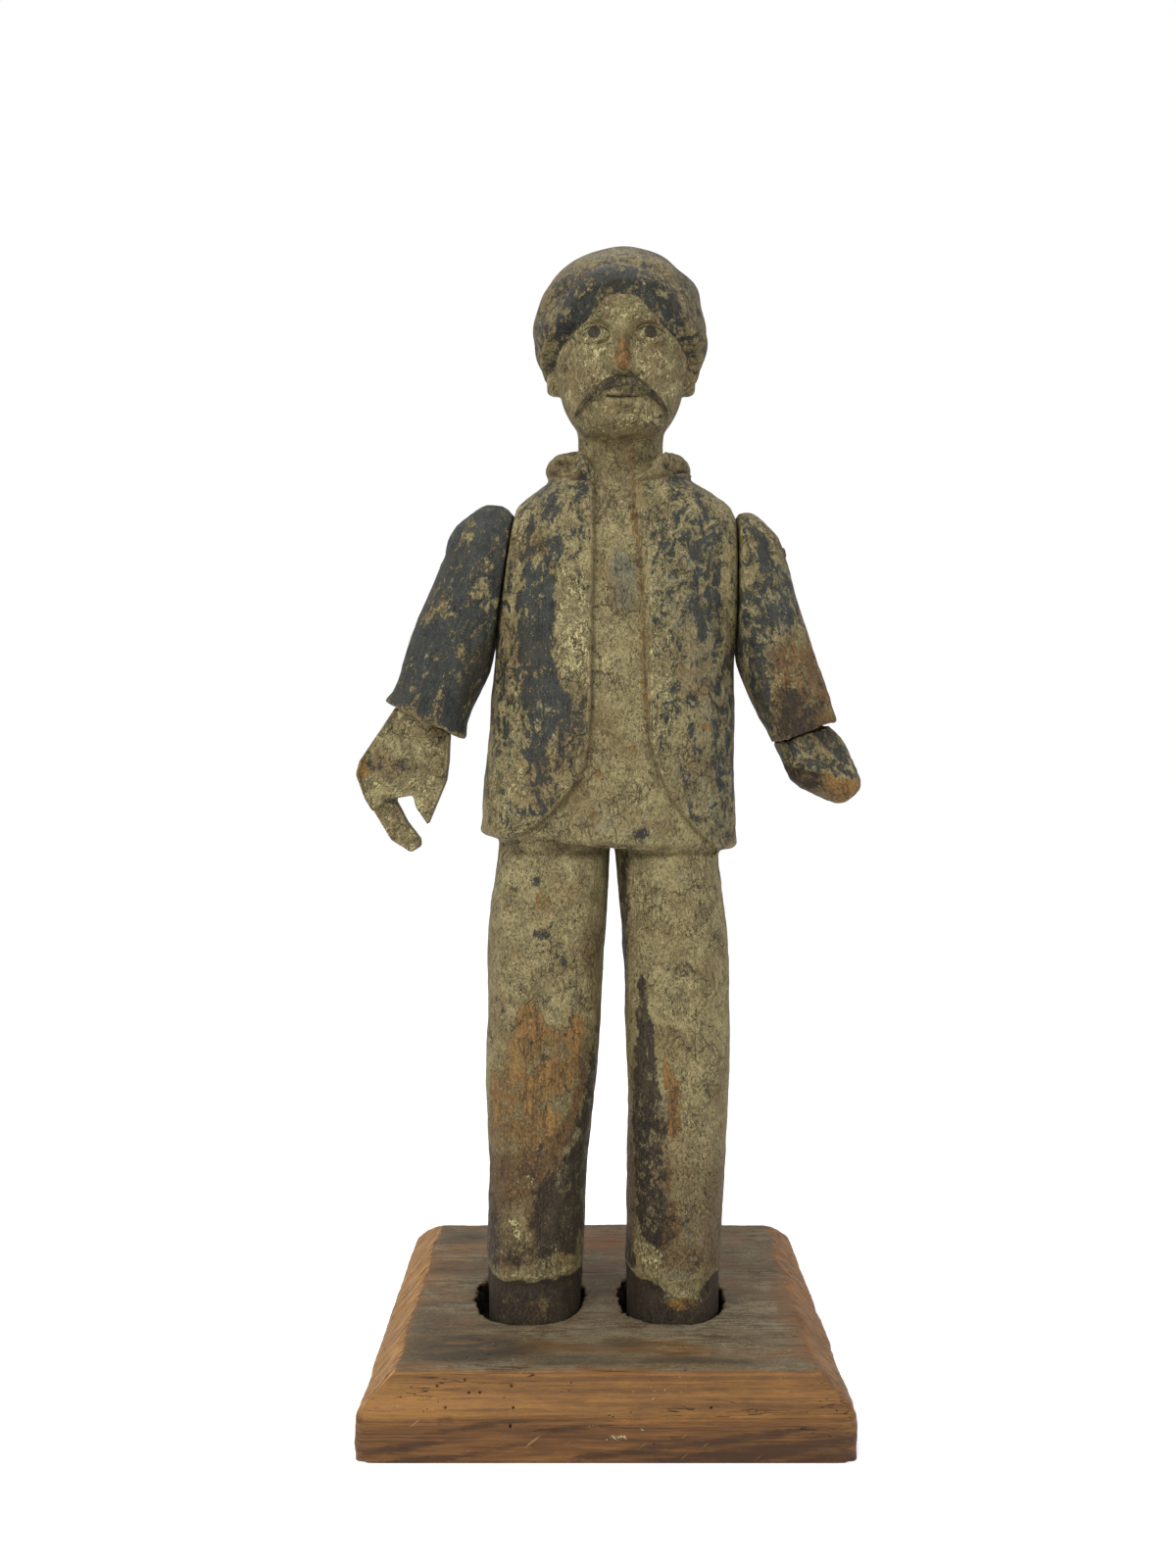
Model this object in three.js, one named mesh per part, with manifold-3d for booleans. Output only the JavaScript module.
// A carved and painted wooden man in a cap, standing in the sockets of a bevelled board.
// The arms turn on pegs at the shoulders.
// Millimetres, +Z up, front towards -Y. The origin is the middle of the board's underside.
// Right and left are the figure's own: its right arm is at -X.

import * as THREE from 'three';
import { mergeVertices } from 'three/addons/utils/BufferGeometryUtils.js';
import Module from 'manifold-3d';

const wasm = await Module();
wasm.setup();

// Fit between neighbouring pieces
const GAP = 0.3;

// Board: upright edge, then a bevel up to the flat top
const BOARD = { width: 201.4, depth: 190, edge: 18.3, bevelRise: 11.8, bevelRun: 14.2, corner: 4.5 };
const SOCKET_DEPTH = 18;

// Heights above the soles
const HEEL_TO_TROUSERS = 36;
const HEM_HEIGHT = 226.5;
const CHIN_HEIGHT = 411;
const CHIN_CLEARANCE = 9.5;
const TORSO_HEIGHT = CHIN_HEIGHT - CHIN_CLEARANCE - HEM_HEIGHT;
const SHOULDER_SHARE = 130.5 / 175;
const SHOULDER_HEIGHT = HEM_HEIGHT + SHOULDER_SHARE * TORSO_HEIGHT;
const CAP_ABOVE_CHIN = 52.7;
const CAP_CENTRE_HEIGHT = CHIN_HEIGHT + CAP_ABOVE_CHIN;

// Shoes: place and half sizes of each sole, and the slack of its socket on each side
const FEET = {
  right: { x: -32, y: -9, half: 21, front: 29, back: 26, slack: { left: 6.2, right: 1.6, front: 0.5, back: 3 } },
  left: { x: 31.2, y: -9, half: 21, front: 29, back: 26, slack: { left: 3.8, right: 2.2, front: 0.5, back: 3 } },
};
const SOLE_SQUARENESS = 2.4;
const TROUSER_LIP = 0.7;
const SHOE_IN_TROUSERS = 4;
const TROUSERS_IN_JACKET = 12;

// Jacket and shirt
const JACKET_THICKNESS = 3.5;
const SHIRT_LIFT = 0.4;
const HEM_SLOPE = -3;

// Collar, as a rolled ring round the neck, open in front; outlines from its top, the opening's across the front
const COLLAR = { x: 6.4, y: 0, belowChin: 6, depthShare: 0.84, frontFrom: -8 };
const COLLAR_PROFILE = [[17, -16], [27.5, -14], [32, -11], [34, -6.5], [33, -2], [29.8, 1], [25, 0.7], [17, -4]];
const COLLAR_OPENING = [[-4.6, -34], [15, -34], [15, -13], [26, -2], [30, 16], [-10, 16], [-8, -2], [-4.6, -10]];
const NECKLINE = 34.5;

// Head, cap, ears
const HEAD_X = 7.8;
const CAP = { x: 7.6, half: 40.2, depth: 39.5, height: 38.8 };
const EAR = { out: 31.5, back: 3, height: 37, thick: 4, wide: 8, tall: 12.5 };

// Shoulders: the flat flank that each arm turns on, and its pegs
const FLANKS = {
  right: { side: -1, x: -44.6, y: -2, slope: 8.9 },
  left: { side: 1, x: 60.8, y: -2, slope: 0 },
};
const FLANK_LENGTH = { below: 46, above: 45 };
const PEG = { radius: 4, headRadius: 7, headThick: 4, inBody: 24, inArm: { right: 29, left: 23 } };

// Cuffs: the middle of each cuff's end face from the shoulder peg, and its slope
const CUFFS = {
  right: { x: -38.2, y: -7, z: -74, slope: -26 },
  left: { x: 30.8, y: -9, z: -79.6, slope: 19 },
};
const TENON = { radius: 7, length: 18 };

// Hands
const RIGHT_HAND = { thick: 13, edge: 3 };

// Nails from below into the feet
const NAIL = { radius: 1.8, headRadius: 4, headThick: 1.6, recess: 0.6, inFoot: 24 };

// Fineness of the carving
const SIDES = 30;
const ARM_SIDES = 24;
const HAND_SIDES = 18;
const ROUND = 16;
const SOCKET_SIDES = 36;
const SLIVER = 0.05;

const BOARD_HEIGHT = BOARD.edge + BOARD.bevelRise;
const FLOOR = BOARD_HEIGHT - SOCKET_DEPTH;
const SOLE_HEIGHT = FLOOR + GAP;

// Cutting blocks: as large as this, or this far past the surface that they open
const REACH = 200;
const PAST = 5;

const radians = (degrees) => THREE.MathUtils.degToRad(degrees);

// Solids and geometry

function solidOf(geometry) {
  const bare = geometry.clone();
  bare.deleteAttribute('normal');
  bare.deleteAttribute('uv');
  const merged = mergeVertices(bare, 1e-4);
  const mesh = new wasm.Mesh({
    numProp: 3,
    vertProperties: Float32Array.from(merged.attributes.position.array),
    triVerts: Uint32Array.from(merged.index.array),
  });
  return new wasm.Manifold(mesh);
}

function geometryOf(solid) {
  const mesh = solid.simplify(SLIVER).getMesh();
  const geometry = new THREE.BufferGeometry();
  geometry.setAttribute('position', new THREE.BufferAttribute(Float32Array.from(mesh.vertProperties), 3));
  geometry.setIndex(new THREE.BufferAttribute(Uint32Array.from(mesh.triVerts), 1));
  geometry.computeVertexNormals();
  return geometry;
}

// A smooth run of values through a list of stations, three at a time
function through(stations, pick) {
  const points = stations.map((station) => new THREE.Vector3(...pick(station)));
  return new THREE.CatmullRomCurve3(points, false, 'catmullrom', 0.5);
}

// One point of a rounded section: half to each side, front towards -Y and back towards +Y
function sectionPoint(angle, { half, front, back, square }) {
  const across = Math.cos(angle);
  const along = Math.sin(angle);
  const reach = (Math.abs(across) ** square + Math.abs(along) ** square) ** (-1 / square);
  return new THREE.Vector2(across * reach * half, along * reach * (along < 0 ? front : back));
}

// A block whittled to the sections named at its stations, from the lowest up
function carve(stations, sides = SIDES, steps = 2) {
  const rings = steps * (stations.length - 1);
  const place = through(stations, (s) => [s.x, s.y, s.z]);
  const size = through(stations, (s) => [s.half, s.front, s.back]);
  const form = through(stations, (s) => [s.square ?? 2.3, s.slope ?? 0, 0]);
  const block = new THREE.CylinderGeometry(1, 1, 1, sides, rings);
  block.rotateX(Math.PI / 2);
  const corners = block.attributes.position;
  for (let i = 0; i < corners.count; i += 1) {
    const corner = new THREE.Vector3().fromBufferAttribute(corners, i);
    const t = THREE.MathUtils.clamp(corner.z + 0.5, 0, 1);
    const middle = place.getPoint(t);
    const { x: half, y: front, z: back } = size.getPoint(t);
    const { x: square, y: slope } = form.getPoint(t);
    const out = Math.hypot(corner.x, corner.y) > 0.5 ? 1 : 0;
    const flat = sectionPoint(Math.atan2(corner.y, corner.x), { half, front, back, square });
    flat.multiplyScalar(out);
    const tilt = radians(slope);
    corners.setXYZ(i, middle.x + flat.x * Math.cos(tilt), middle.y + flat.y, middle.z + flat.x * Math.sin(tilt));
  }
  return solidOf(block);
}

// A flat outline in the front view, extruded from its back plane towards the viewer
function frontPrism(shape, backY, thick, bevel = 0) {
  const geometry = new THREE.ExtrudeGeometry(shape, {
    depth: thick - 2 * bevel,
    curveSegments: 6,
    bevelEnabled: bevel > 0,
    bevelThickness: bevel,
    bevelSize: bevel,
    bevelOffset: -bevel,
    bevelSegments: 2,
  });
  geometry.translate(0, 0, bevel);
  geometry.rotateX(Math.PI / 2);
  geometry.translate(0, backY, 0);
  return solidOf(geometry);
}

function boxAt(width, depth, height, place) {
  const box = new THREE.BoxGeometry(width, depth, height);
  box.applyMatrix4(place);
  return solidOf(box);
}

// A turned piece whose axis starts at `from` and runs along `direction`
function turned(profile, from, direction, sides = ROUND) {
  const points = profile.map(([radius, along]) => new THREE.Vector2(radius, along));
  const geometry = new THREE.LatheGeometry(points, sides);
  const turn = new THREE.Quaternion().setFromUnitVectors(new THREE.Vector3(0, 1, 0), direction);
  geometry.applyQuaternion(turn);
  geometry.translate(from.x, from.y, from.z);
  return geometry;
}

function rodProfile(radius, start, end) {
  return [[0, start], [radius, start], [radius, end], [0, end]];
}

// Places that pieces share

function pivotOf(name) {
  const flank = FLANKS[name];
  return new THREE.Vector3(flank.x, flank.y, SHOULDER_HEIGHT);
}

function outwardOf(name) {
  const flank = FLANKS[name];
  const slope = radians(flank.slope);
  return new THREE.Vector3(flank.side * Math.cos(slope), 0, Math.sin(slope));
}

// Everything beyond a flank's plane moved outwards by `shift`, next to the arm; side 1 is outside, -1 inside
function besideFlank(name, shift, outside, reach) {
  const flank = FLANKS[name];
  const thickness = REACH / 4;
  const place = new THREE.Matrix4().makeTranslation(...pivotOf(name).toArray());
  place.multiply(new THREE.Matrix4().makeRotationY(-flank.side * radians(flank.slope)));
  const middle = flank.side * (shift + (outside * thickness) / 2);
  const height = reach.below + reach.above;
  place.multiply(new THREE.Matrix4().makeTranslation(middle, 0, (reach.above - reach.below) / 2));
  return boxAt(thickness, REACH, height, place);
}

// Legs: shoe, then trouser leg, listed from the sole up

function shoe(foot) {
  const rim = { x: foot.x, y: foot.y, square: SOLE_SQUARENESS };
  const stations = [
    { ...rim, z: 0, half: foot.half, front: foot.front, back: foot.back },
    { ...rim, z: HEEL_TO_TROUSERS / 2, half: foot.half, front: foot.front, back: foot.back },
    { ...rim, z: HEEL_TO_TROUSERS + SHOE_IN_TROUSERS, half: foot.half, front: foot.front - 1.5, back: foot.back - 1 },
  ];
  return carve(stations, SIDES, 1);
}

function trouserLeg(foot, upward) {
  const low = HEEL_TO_TROUSERS;
  const rise = HEM_HEIGHT + TROUSERS_IN_JACKET - low;
  const first = {
    x: foot.x,
    y: foot.y,
    z: low,
    half: foot.half + TROUSER_LIP,
    front: foot.front + TROUSER_LIP / 2,
    back: foot.back + TROUSER_LIP / 2,
    square: SOLE_SQUARENESS,
  };
  const rest = upward.map(([share, x, y, half, depth]) => ({
    x,
    y,
    z: low + share * rise,
    half,
    front: depth,
    back: depth,
    square: 2.5,
  }));
  return carve([first, ...rest], SIDES, 1);
}

// Share of the leg's height, then middle across and in depth, half width and half depth
const RIGHT_LEG = [
  [0.1, -31.2, -9.5, 22.2, 27.5],
  [0.24, -30.2, -9, 23.2, 27.5],
  [0.38, -28.9, -8, 24.7, 27.5],
  [0.51, -28.2, -7, 25.8, 28],
  [0.64, -27.7, -5, 26.8, 29],
  [0.78, -26.5, -3, 26.9, 29.5],
  [0.9, -24.4, -1, 25.7, 29],
  [1, -22, 0, 25, 28],
];
const LEFT_LEG = [
  [0.1, 32.5, -9.5, 21.4, 27.5],
  [0.24, 33.5, -9, 22.7, 27.5],
  [0.38, 33.8, -8, 23.4, 27.5],
  [0.51, 33.6, -7, 24.2, 28],
  [0.64, 33.1, -5, 24.2, 29],
  [0.78, 31.6, -3, 23.7, 29.5],
  [0.9, 29.5, -1, 23.4, 29],
  [1, 28, 0, 23, 28],
];

// Torso: share of its height, middle, half width, front, back, slope
const TORSO = [
  [0, 1.8, 57.6, 34.5, 33, HEM_SLOPE],
  [0.017, 1.9, 59.3, 36, 34.5, HEM_SLOPE],
  [0.08, 2, 58.8, 37, 34.5, -2.2],
  [0.189, 2.4, 57.6, 37.5, 34, -1.2],
  [0.303, 3.4, 57, 37.5, 33.5, -0.6],
  [0.417, 4.3, 56, 37, 33.5, 0],
  [0.509, 5, 55.8, 36.5, 33.5, 0],
  [0.674, 7.5, 58, 35.5, 33, 0],
  [0.8, 8.2, 56.8, 34.5, 31, 0],
  [0.869, 8.6, 51.6, 32.5, 28, 0],
  [0.909, 7.9, 45, 30, 25.5, 0],
  [0.943, 7.4, 36, 26.5, 23, 0],
  [0.977, 7.2, 27, 21, 20, 0],
  [1, 7.4, 20, 17, 17, 0],
];

function torsoStations(inset) {
  return TORSO.map(([share, x, half, front, back, slope]) => ({
    x,
    y: 0,
    z: HEM_HEIGHT + share * TORSO_HEIGHT,
    half: half - inset,
    front: front - inset,
    back: back - inset,
    square: 2.5,
    slope,
  }));
}

// The jacket's two rounded front corners, from the hem: across and up
const RIGHT_CORNER = [[-9.6, 36], [-18.5, 21.5], [-29, 11.5], [-41, 4]];
const LEFT_CORNER = [[36.5, 12.5], [27.5, 26.5], [20.8, 44.5]];

// Outline of the jacket's opening in the front view
function jacketOpening() {
  const corner = (list) => list.map(([x, up]) => new THREE.Vector2(x, HEM_HEIGHT + up));
  const neckline = CHIN_HEIGHT - NECKLINE;
  const outline = new THREE.Shape();
  outline.moveTo(-4.6, CHIN_HEIGHT);
  outline.lineTo(-5.2, neckline);
  outline.lineTo(-6.6, HEM_HEIGHT + 60);
  outline.splineThru(corner(RIGHT_CORNER));
  outline.lineTo(-46, HEM_HEIGHT - 10);
  outline.lineTo(56, HEM_HEIGHT - 10);
  outline.lineTo(48, HEM_HEIGHT + 1);
  outline.splineThru(corner(LEFT_CORNER));
  outline.lineTo(19.8, HEM_HEIGHT + 70);
  outline.lineTo(17.6, neckline - 20);
  outline.lineTo(15, neckline);
  outline.lineTo(15, CHIN_HEIGHT);
  outline.closePath();
  return outline;
}

function jacketAndShirt() {
  const opening = frontPrism(jacketOpening(), 0, REACH / 2);
  const jacket = carve(torsoStations(0), SIDES, 1).subtract(opening);
  const shirtStations = torsoStations(JACKET_THICKNESS);
  shirtStations[0].z += SHIRT_LIFT;
  return jacket.add(carve(shirtStations, SIDES, 1));
}

// Neck and rolled collar

function neck() {
  const base = { y: 1, square: 2.1 };
  return carve([
    { ...base, x: 7.2, z: CHIN_HEIGHT - 34, half: 22, front: 19, back: 20 },
    { ...base, x: 7.4, z: CHIN_HEIGHT - 14, half: 20.5, front: 17.5, back: 20 },
    { ...base, x: 7.6, z: CHIN_HEIGHT + 4, half: 20, front: 17, back: 21 },
    { ...base, x: 7.8, z: CHIN_HEIGHT + 16, half: 22, front: 17, back: 24 },
  ], ARM_SIDES);
}

function collar() {
  const top = CHIN_HEIGHT - COLLAR.belowChin;
  const points = [...COLLAR_PROFILE, COLLAR_PROFILE[0]].map(([radius, up]) => new THREE.Vector2(radius, up));
  const ring = new THREE.LatheGeometry(points, 28);
  ring.rotateX(Math.PI / 2);
  ring.scale(1, COLLAR.depthShare, 1);
  ring.translate(COLLAR.x, COLLAR.y, top);
  const opening = new THREE.Shape(COLLAR_OPENING.map(([x, up]) => new THREE.Vector2(x, top + up)));
  return solidOf(ring).subtract(frontPrism(opening, COLLAR.frontFrom, REACH / 2));
}

// Head: heights from the chin's lower edge

function skull() {
  const stations = [
    [0, -13, 11, 13, 13],
    [5, -10, 19.5, 21.5, 22],
    [14, -6, 25.5, 26.5, 28],
    [25, -3, 29, 30, 33],
    [37, -2, 31, 32, 36],
    [48, -1, 31.5, 34.5, 36.5],
    [60, 0, 31, 36.5, 36.5],
    [72, 1, 28, 33, 34],
    [83, 2, 16, 18, 20],
  ];
  return carve(stations.map(([up, y, half, front, back]) => ({
    x: HEAD_X,
    y,
    z: CHIN_HEIGHT + up,
    half,
    front,
    back,
    square: 2.2,
  })), SIDES, 1);
}

function nose() {
  const base = { x: HEAD_X, square: 2, back: 6 };
  return carve([
    { ...base, y: -29, z: CHIN_HEIGHT + 25.5, half: 4.6, front: 8 },
    { ...base, y: -30, z: CHIN_HEIGHT + 28.5, half: 6, front: 11 },
    { ...base, y: -30, z: CHIN_HEIGHT + 39, half: 4, front: 8 },
    { ...base, y: -30, z: CHIN_HEIGHT + 50, half: 3.2, front: 4.4 },
  ], 14, 2);
}

function moustache() {
  const middle = CHIN_HEIGHT + 21.5;
  const upper = [[20, -9.7], [16.8, -3], [9, 2.6]];
  const lower = [[13, -6], [6, -2]];
  const place = ([x, up], side) => new THREE.Vector2(HEAD_X + side * x, middle + up);
  const outline = new THREE.Shape();
  outline.moveTo(HEAD_X - upper[0][0], middle + upper[0][1]);
  outline.splineThru([
    ...upper.slice(1).map((point) => place(point, -1)),
    place([0, 3.6], 1),
    ...upper.slice().reverse().map((point) => place(point, 1)),
  ]);
  outline.splineThru([
    ...lower.map((point) => place(point, 1)),
    place([0, -1], 1),
    ...lower.slice().reverse().map((point) => place(point, -1)),
  ]);
  return frontPrism(outline, -18, 17.4);
}

function ears() {
  const ear = (side) => {
    const ball = new THREE.SphereGeometry(1, 12, 8);
    ball.scale(EAR.thick, EAR.wide, EAR.tall);
    ball.translate(HEAD_X + side * EAR.out, EAR.back, CHIN_HEIGHT + EAR.height);
    return solidOf(ball);
  };
  return ear(-1).add(ear(1));
}

// The cap is a soft dome; its lower edge runs high over the forehead and low at the nape
function cap() {
  const dome = new THREE.SphereGeometry(1, 32, 18);
  dome.rotateX(Math.PI / 2);
  dome.scale(CAP.half, CAP.depth, CAP.height);
  dome.translate(CAP.x, 0, CAP_CENTRE_HEIGHT);
  const rim = new THREE.Shape();
  const level = CAP_CENTRE_HEIGHT;
  rim.moveTo(-50, level - REACH / 2);
  rim.lineTo(50, level - REACH / 2);
  rim.lineTo(50, level - 28);
  rim.splineThru([
    new THREE.Vector2(15, level - 24),
    new THREE.Vector2(-8, level - 15.2),
    new THREE.Vector2(-29, level - 3.5),
    new THREE.Vector2(-36.5, level + 10.5),
    new THREE.Vector2(-40.5, level + 13),
    new THREE.Vector2(-50, level + 22),
  ]);
  rim.closePath();
  const below = new THREE.ExtrudeGeometry(rim, { depth: REACH, curveSegments: 4, bevelEnabled: false });
  const across = new THREE.Vector3(1, 0, 0);
  const backward = new THREE.Vector3(0, 1, 0);
  const upward = new THREE.Vector3(0, 0, 1);
  below.applyMatrix4(new THREE.Matrix4().makeBasis(backward, upward, across));
  below.translate(CAP.x - REACH / 2, 0, 0);
  return solidOf(dome).subtract(solidOf(below));
}

// Bores that pegs and nails sit in

function pegBore(name) {
  const inward = outwardOf(name).negate();
  return solidOf(turned(rodProfile(PEG.radius + GAP, -PAST, PEG.inBody + GAP), pivotOf(name), inward));
}

function nailBore(foot) {
  const start = new THREE.Vector3(foot.x, foot.y, 0);
  return solidOf(turned(rodProfile(NAIL.radius + GAP, -PAST, NAIL.inFoot + GAP), start, new THREE.Vector3(0, 0, 1)));
}

function figureBody() {
  let body = jacketAndShirt();
  body = body.subtract(besideFlank('right', 0, 1, FLANK_LENGTH));
  body = body.subtract(besideFlank('left', 0, 1, FLANK_LENGTH));
  body = body.add(shoe(FEET.right)).add(trouserLeg(FEET.right, RIGHT_LEG));
  body = body.add(shoe(FEET.left)).add(trouserLeg(FEET.left, LEFT_LEG));
  body = body.add(neck()).add(collar()).add(skull());
  body = body.add(cap()).add(ears()).add(nose()).add(moustache());
  body = body.subtract(pegBore('right')).subtract(pegBore('left'));
  body = body.subtract(nailBore(FEET.right)).subtract(nailBore(FEET.left));
  return geometryOf(body);
}

// Arms: measured from the peg's place on the flank; x grows away from the body
// Stations from the shoulder down: out, forward, up, half width, half depth, slope
const RIGHT_SLEEVE = [
  [7.6, 1, 25.2, 5.5, 9, 0],
  [8.4, 1, 17.8, 15, 16.5, 0],
  [9.6, 1, 10.6, 18.6, 20.5, 0],
  [11.2, 1, 2.6, 19.6, 22, 0],
  [15.2, 0, -11.4, 19.8, 22, -3],
  [21.5, -2, -31.4, 20.5, 21.5, -10],
  [27.8, -4, -47.9, 19.6, 20.5, -17],
  [33.6, -6, -61.9, 18.8, 19, -23],
];
const LEFT_SLEEVE = [
  [3.5, 1, 21.6, 6, 9, 0],
  [2.4, 1, 15.6, 13.2, 16.5, 0],
  [3.8, 1, 9.6, 17, 20.5, 0],
  [5.6, 1, -0.4, 18.2, 22, 0],
  [9, 0, -15.4, 18.8, 22, 2],
  [14.4, -2, -32.4, 18.5, 21.5, 6],
  [20, -4, -50.4, 18.1, 20, 11],
  [25.7, -7, -66.4, 16.7, 18.5, 15],
];
const CUFF_HALF = { right: 20.6, left: 15.6 };
const CUFF_DEPTH = { right: 18, left: 17 };

function cuffFrame(name) {
  const cuff = CUFFS[name];
  const middle = new THREE.Vector3(cuff.x, cuff.y, cuff.z);
  const slope = radians(cuff.slope);
  const intoArm = new THREE.Vector3(-Math.sin(slope), 0, Math.cos(slope));
  return { middle, intoArm, slope };
}

function sleeve(name, list) {
  const { side } = FLANKS[name];
  const stations = list.map(([out, y, z, half, depth, slope]) => ({
    x: side * out,
    y,
    z,
    half,
    front: depth,
    back: depth,
    slope,
    square: 2.3,
  }));
  const cuff = CUFFS[name];
  const depth = CUFF_DEPTH[name];
  stations.push({ ...cuff, half: CUFF_HALF[name], front: depth, back: depth, square: 2.2 });
  stations.reverse();
  let arm = carve(stations, ARM_SIDES);
  const pivot = pivotOf(name).toArray();
  const toArm = pivot.map((value) => -value);
  arm = arm.subtract(besideFlank(name, GAP, -1, { below: REACH, above: REACH }).translate(toArm));
  const outward = outwardOf(name);
  const start = new THREE.Vector3();
  arm = arm.subtract(solidOf(turned(rodProfile(PEG.radius + GAP, -PAST, REACH / 2), start, outward)));
  const seat = PEG.inArm[name] - PEG.headThick;
  arm = arm.subtract(solidOf(turned(rodProfile(PEG.headRadius + GAP, seat, REACH / 2), start, outward)));
  const { middle, intoArm } = cuffFrame(name);
  const tenonHole = rodProfile(TENON.radius + GAP, -PAST, TENON.length + GAP);
  return geometryOf(arm.subtract(solidOf(turned(tenonHole, middle, intoArm))));
}

// Hands: measured from the middle of the cuff's end face

function belowCuff(name) {
  const { slope } = cuffFrame(name);
  const place = new THREE.Matrix4().makeRotationY(-slope);
  place.multiply(new THREE.Matrix4().makeTranslation(0, 0, -GAP - REACH / 2));
  return boxAt(REACH, REACH, REACH, place);
}

function wristTenon(name) {
  const { intoArm } = cuffFrame(name);
  return solidOf(turned(rodProfile(TENON.radius, -PAST, TENON.length), new THREE.Vector3(), intoArm));
}

// Outline in the front view: hooked fingers on the outer side, a gap for a tool's shaft, a pointed thumb
const RIGHT_HAND_OUTLINE = [
  [-10, 12], [-14, 4.5], [-21.6, -7], [-29.6, -18.8], [-31.2, -24.8], [-27, -36.2], [-15.6, -55.2], [-6.4, -61],
  [-2, -58.3], [-2.2, -55], [-8.4, -47], [-13.6, -37], [-5, -34.4], [-3.6, -40], [1.6, -47.6], [9.8, -28],
  [11, -18.4], [12, 6],
];

function rightHand() {
  const outline = new THREE.Shape(RIGHT_HAND_OUTLINE.map(([x, z]) => new THREE.Vector2(x, z)));
  const palm = frontPrism(outline, RIGHT_HAND.thick / 2, RIGHT_HAND.thick, RIGHT_HAND.edge);
  return geometryOf(palm.intersect(belowCuff('right')).add(wristTenon('right')));
}

// A closed mitten-like hand, turned outwards from its cuff, listed from its tip: x, y, z, half width, half depth, slope
const LEFT_HAND = [
  [20.4, -1, -30.2, 4.5, 5, 34],
  [18, -1, -27.2, 9.6, 10, 33],
  [13, -1, -21.6, 13.2, 12.5, 30],
  [5.6, 0, -13.3, 14.6, 12.5, 26],
  [-1, 0, 0, 13.2, 12, 19],
  [-3, 0, 8, 12.4, 11, 19],
];

function leftHand() {
  const stations = LEFT_HAND.map(([x, y, z, half, depth, slope]) => ({ x, y, z, half, front: depth, back: depth, slope }));
  const hand = carve(stations, HAND_SIDES);
  return geometryOf(hand.intersect(belowCuff('left')).add(wristTenon('left')));
}

// Pegs and nails

function pegProfile(name) {
  const head = PEG.inArm[name] - PEG.headThick + GAP;
  const top = head + PEG.headThick;
  const tip = 2;
  return [
    [0, -PEG.inBody],
    [PEG.radius - tip / 2, -PEG.inBody],
    [PEG.radius, -PEG.inBody + tip],
    [PEG.radius, head],
    [PEG.headRadius, head],
    [PEG.headRadius, top - 1.2],
    [PEG.headRadius - 1.5, top],
    [0, top],
  ];
}

function nailProfile() {
  const tip = FLOOR + GAP + NAIL.inFoot;
  const under = NAIL.recess + NAIL.headThick;
  return [
    [0, NAIL.recess],
    [NAIL.headRadius, NAIL.recess],
    [NAIL.headRadius, under],
    [NAIL.radius, under],
    [NAIL.radius, tip - 5],
    [NAIL.radius * 0.4, tip],
    [0, tip],
  ];
}

// Board

function soleShape(foot) {
  const { left, right, front, back } = foot.slack;
  const points = [];
  const section = {
    half: foot.half + (left + right) / 2,
    front: foot.front + front,
    back: foot.back + back,
    square: SOLE_SQUARENESS,
  };
  for (let i = 0; i < SOCKET_SIDES; i += 1) {
    const point = sectionPoint((i / SOCKET_SIDES) * 2 * Math.PI, section);
    points.push(new THREE.Vector2(foot.x + (right - left) / 2 + point.x, foot.y + point.y));
  }
  return new THREE.Shape(points);
}

function roundedRectangle(width, depth, radius) {
  const x = width / 2;
  const y = depth / 2;
  const shape = new THREE.Shape();
  shape.moveTo(-x + radius, -y);
  shape.lineTo(x - radius, -y);
  shape.absarc(x - radius, -y + radius, radius, -Math.PI / 2, 0);
  shape.absarc(x - radius, y - radius, radius, 0, Math.PI / 2);
  shape.absarc(-x + radius, y - radius, radius, Math.PI / 2, Math.PI);
  shape.absarc(-x + radius, -y + radius, radius, Math.PI, 1.5 * Math.PI);
  return shape;
}

function upwardPrism(shape, from, to) {
  const geometry = new THREE.ExtrudeGeometry(shape, { depth: to - from, curveSegments: 5, bevelEnabled: false });
  geometry.translate(0, 0, from);
  return solidOf(geometry);
}

// A block that narrows upwards at the bevel's slope and is as wide as the board at the top of its upright edge
function bevelledBlock() {
  const block = new THREE.BoxGeometry(2, 2, 2);
  const corners = block.attributes.position;
  for (let i = 0; i < corners.count; i += 1) {
    const z = corners.getZ(i) < 0 ? -PAST : BOARD_HEIGHT + PAST;
    const wider = ((BOARD.edge - z) * BOARD.bevelRun) / BOARD.bevelRise;
    const x = corners.getX(i) * (BOARD.width / 2 + wider);
    const y = corners.getY(i) * (BOARD.depth / 2 + wider);
    corners.setXYZ(i, x, y, z);
  }
  return solidOf(block);
}

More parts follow.
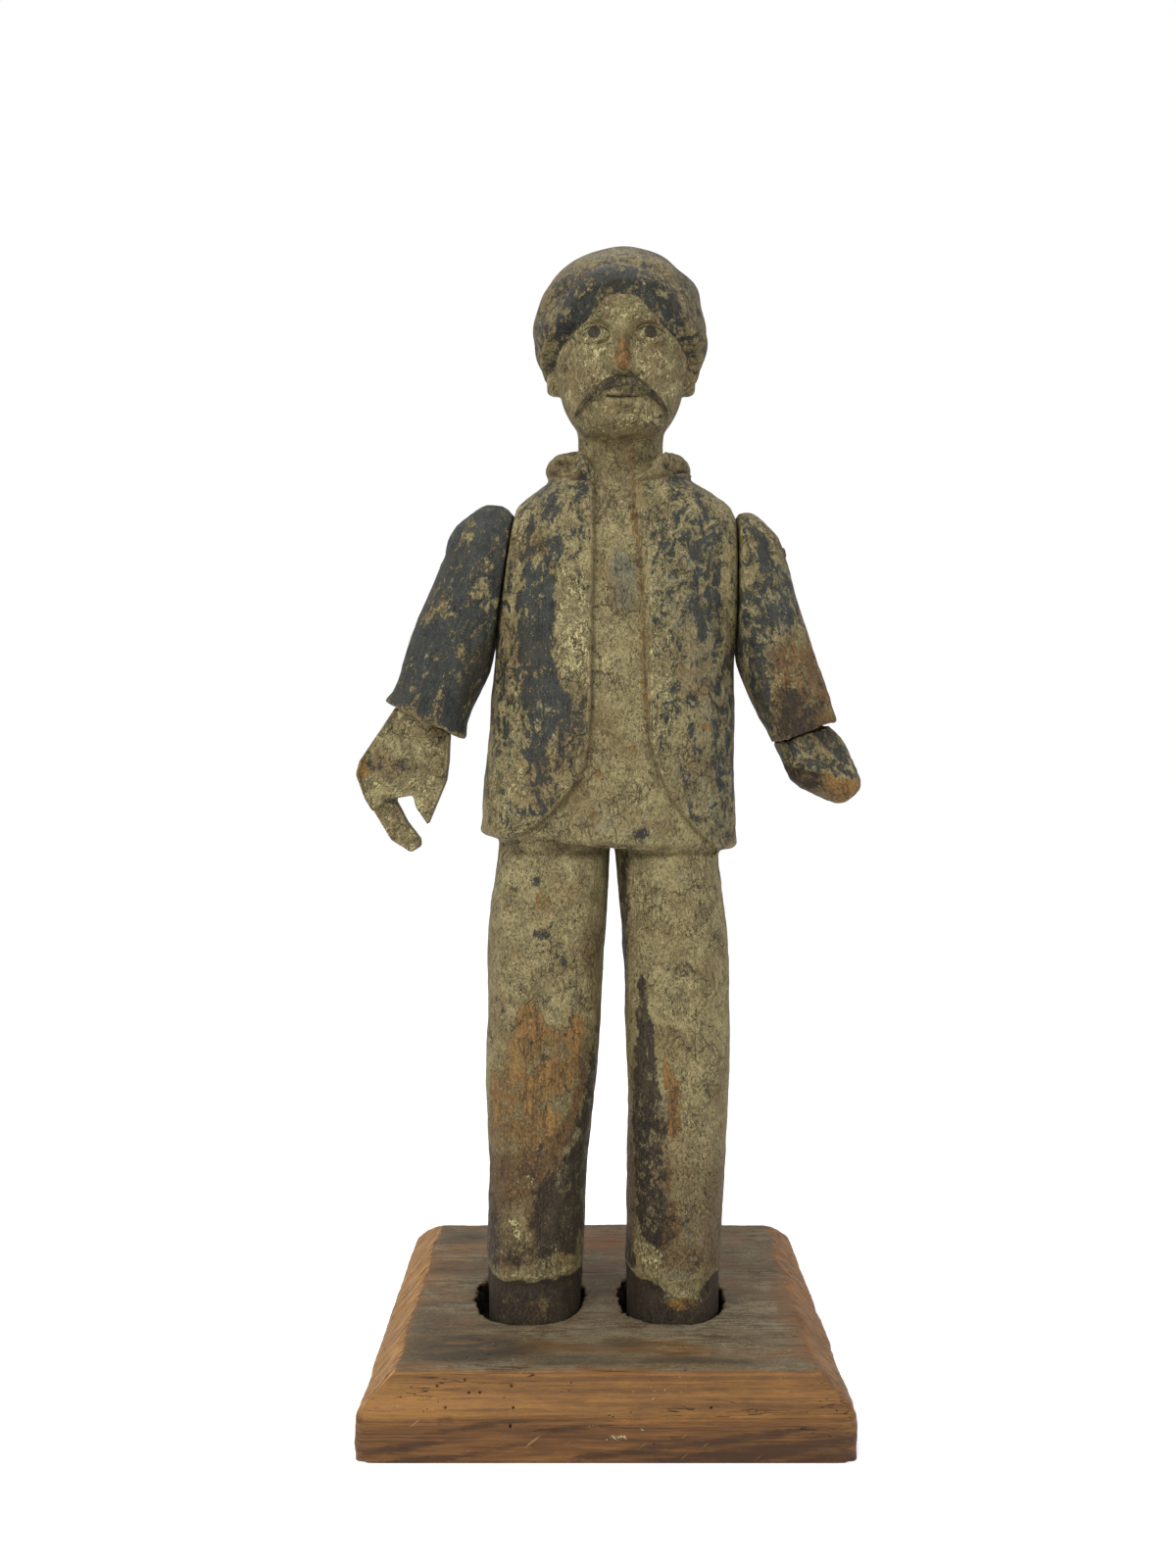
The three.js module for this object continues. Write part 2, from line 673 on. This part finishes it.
function baseBoard() {
  let board = upwardPrism(roundedRectangle(BOARD.width, BOARD.depth, BOARD.corner), 0, BOARD_HEIGHT);
  board = board.intersect(bevelledBlock());
  for (const foot of Object.values(FEET)) {
    board = board.subtract(upwardPrism(soleShape(foot), FLOOR, BOARD_HEIGHT + PAST));
    const below = new THREE.Vector3(foot.x, foot.y, 0);
    const up = new THREE.Vector3(0, 0, 1);
    board = board.subtract(solidOf(turned(rodProfile(NAIL.radius + GAP, -PAST, FLOOR + PAST), below, up)));
    const head = NAIL.recess + NAIL.headThick + GAP;
    board = board.subtract(solidOf(turned(rodProfile(NAIL.headRadius + GAP, -PAST, head), below, up)));
  }
  return geometryOf(board);
}

// Assembly

const finishes = {
  stainedBoard: { color: 0x7a4a28, roughness: 0.6 },
  oldPaint: { color: 0x6b5f47, roughness: 0.75 },
  slatePaint: { color: 0x2f3436, roughness: 0.7 },
  bareWood: { color: 0x8a6f4b, roughness: 0.7 },
  pegWood: { color: 0x6f5334, roughness: 0.7 },
  iron: { color: 0x3a3532, roughness: 0.6, metalness: 0.8 },
};

function piece(name, geometry, finish) {
  const mesh = new THREE.Mesh(geometry, new THREE.MeshStandardMaterial(finishes[finish]));
  mesh.name = name;
  return mesh;
}

const object = new THREE.Group();
object.add(piece('base_board', baseBoard(), 'stainedBoard'));

const figure = new THREE.Group();
figure.position.z = SOLE_HEIGHT;
object.add(figure);
figure.add(piece('figure_body', figureBody(), 'oldPaint'));

const hands = { right: rightHand, left: leftHand };
const sleeves = { right: RIGHT_SLEEVE, left: LEFT_SLEEVE };
for (const name of ['right', 'left']) {
  const arm = new THREE.Group();
  arm.position.copy(pivotOf(name));
  figure.add(arm);
  arm.add(piece(`${name}_sleeve`, sleeve(name, sleeves[name]), 'slatePaint'));
  const hand = piece(`${name}_hand`, hands[name](), 'bareWood');
  hand.position.copy(cuffFrame(name).middle);
  arm.add(hand);
  const peg = turned(pegProfile(name), new THREE.Vector3(), outwardOf(name));
  arm.add(piece(`${name}_shoulder_peg`, geometryOf(solidOf(peg)), 'pegWood'));
  const nail = turned(nailProfile(), new THREE.Vector3(), new THREE.Vector3(0, 0, 1));
  const nailPiece = piece(`${name}_foot_nail`, geometryOf(solidOf(nail)), 'iron');
  nailPiece.position.set(FEET[name].x, FEET[name].y, 0);
  object.add(nailPiece);
}

export default object;
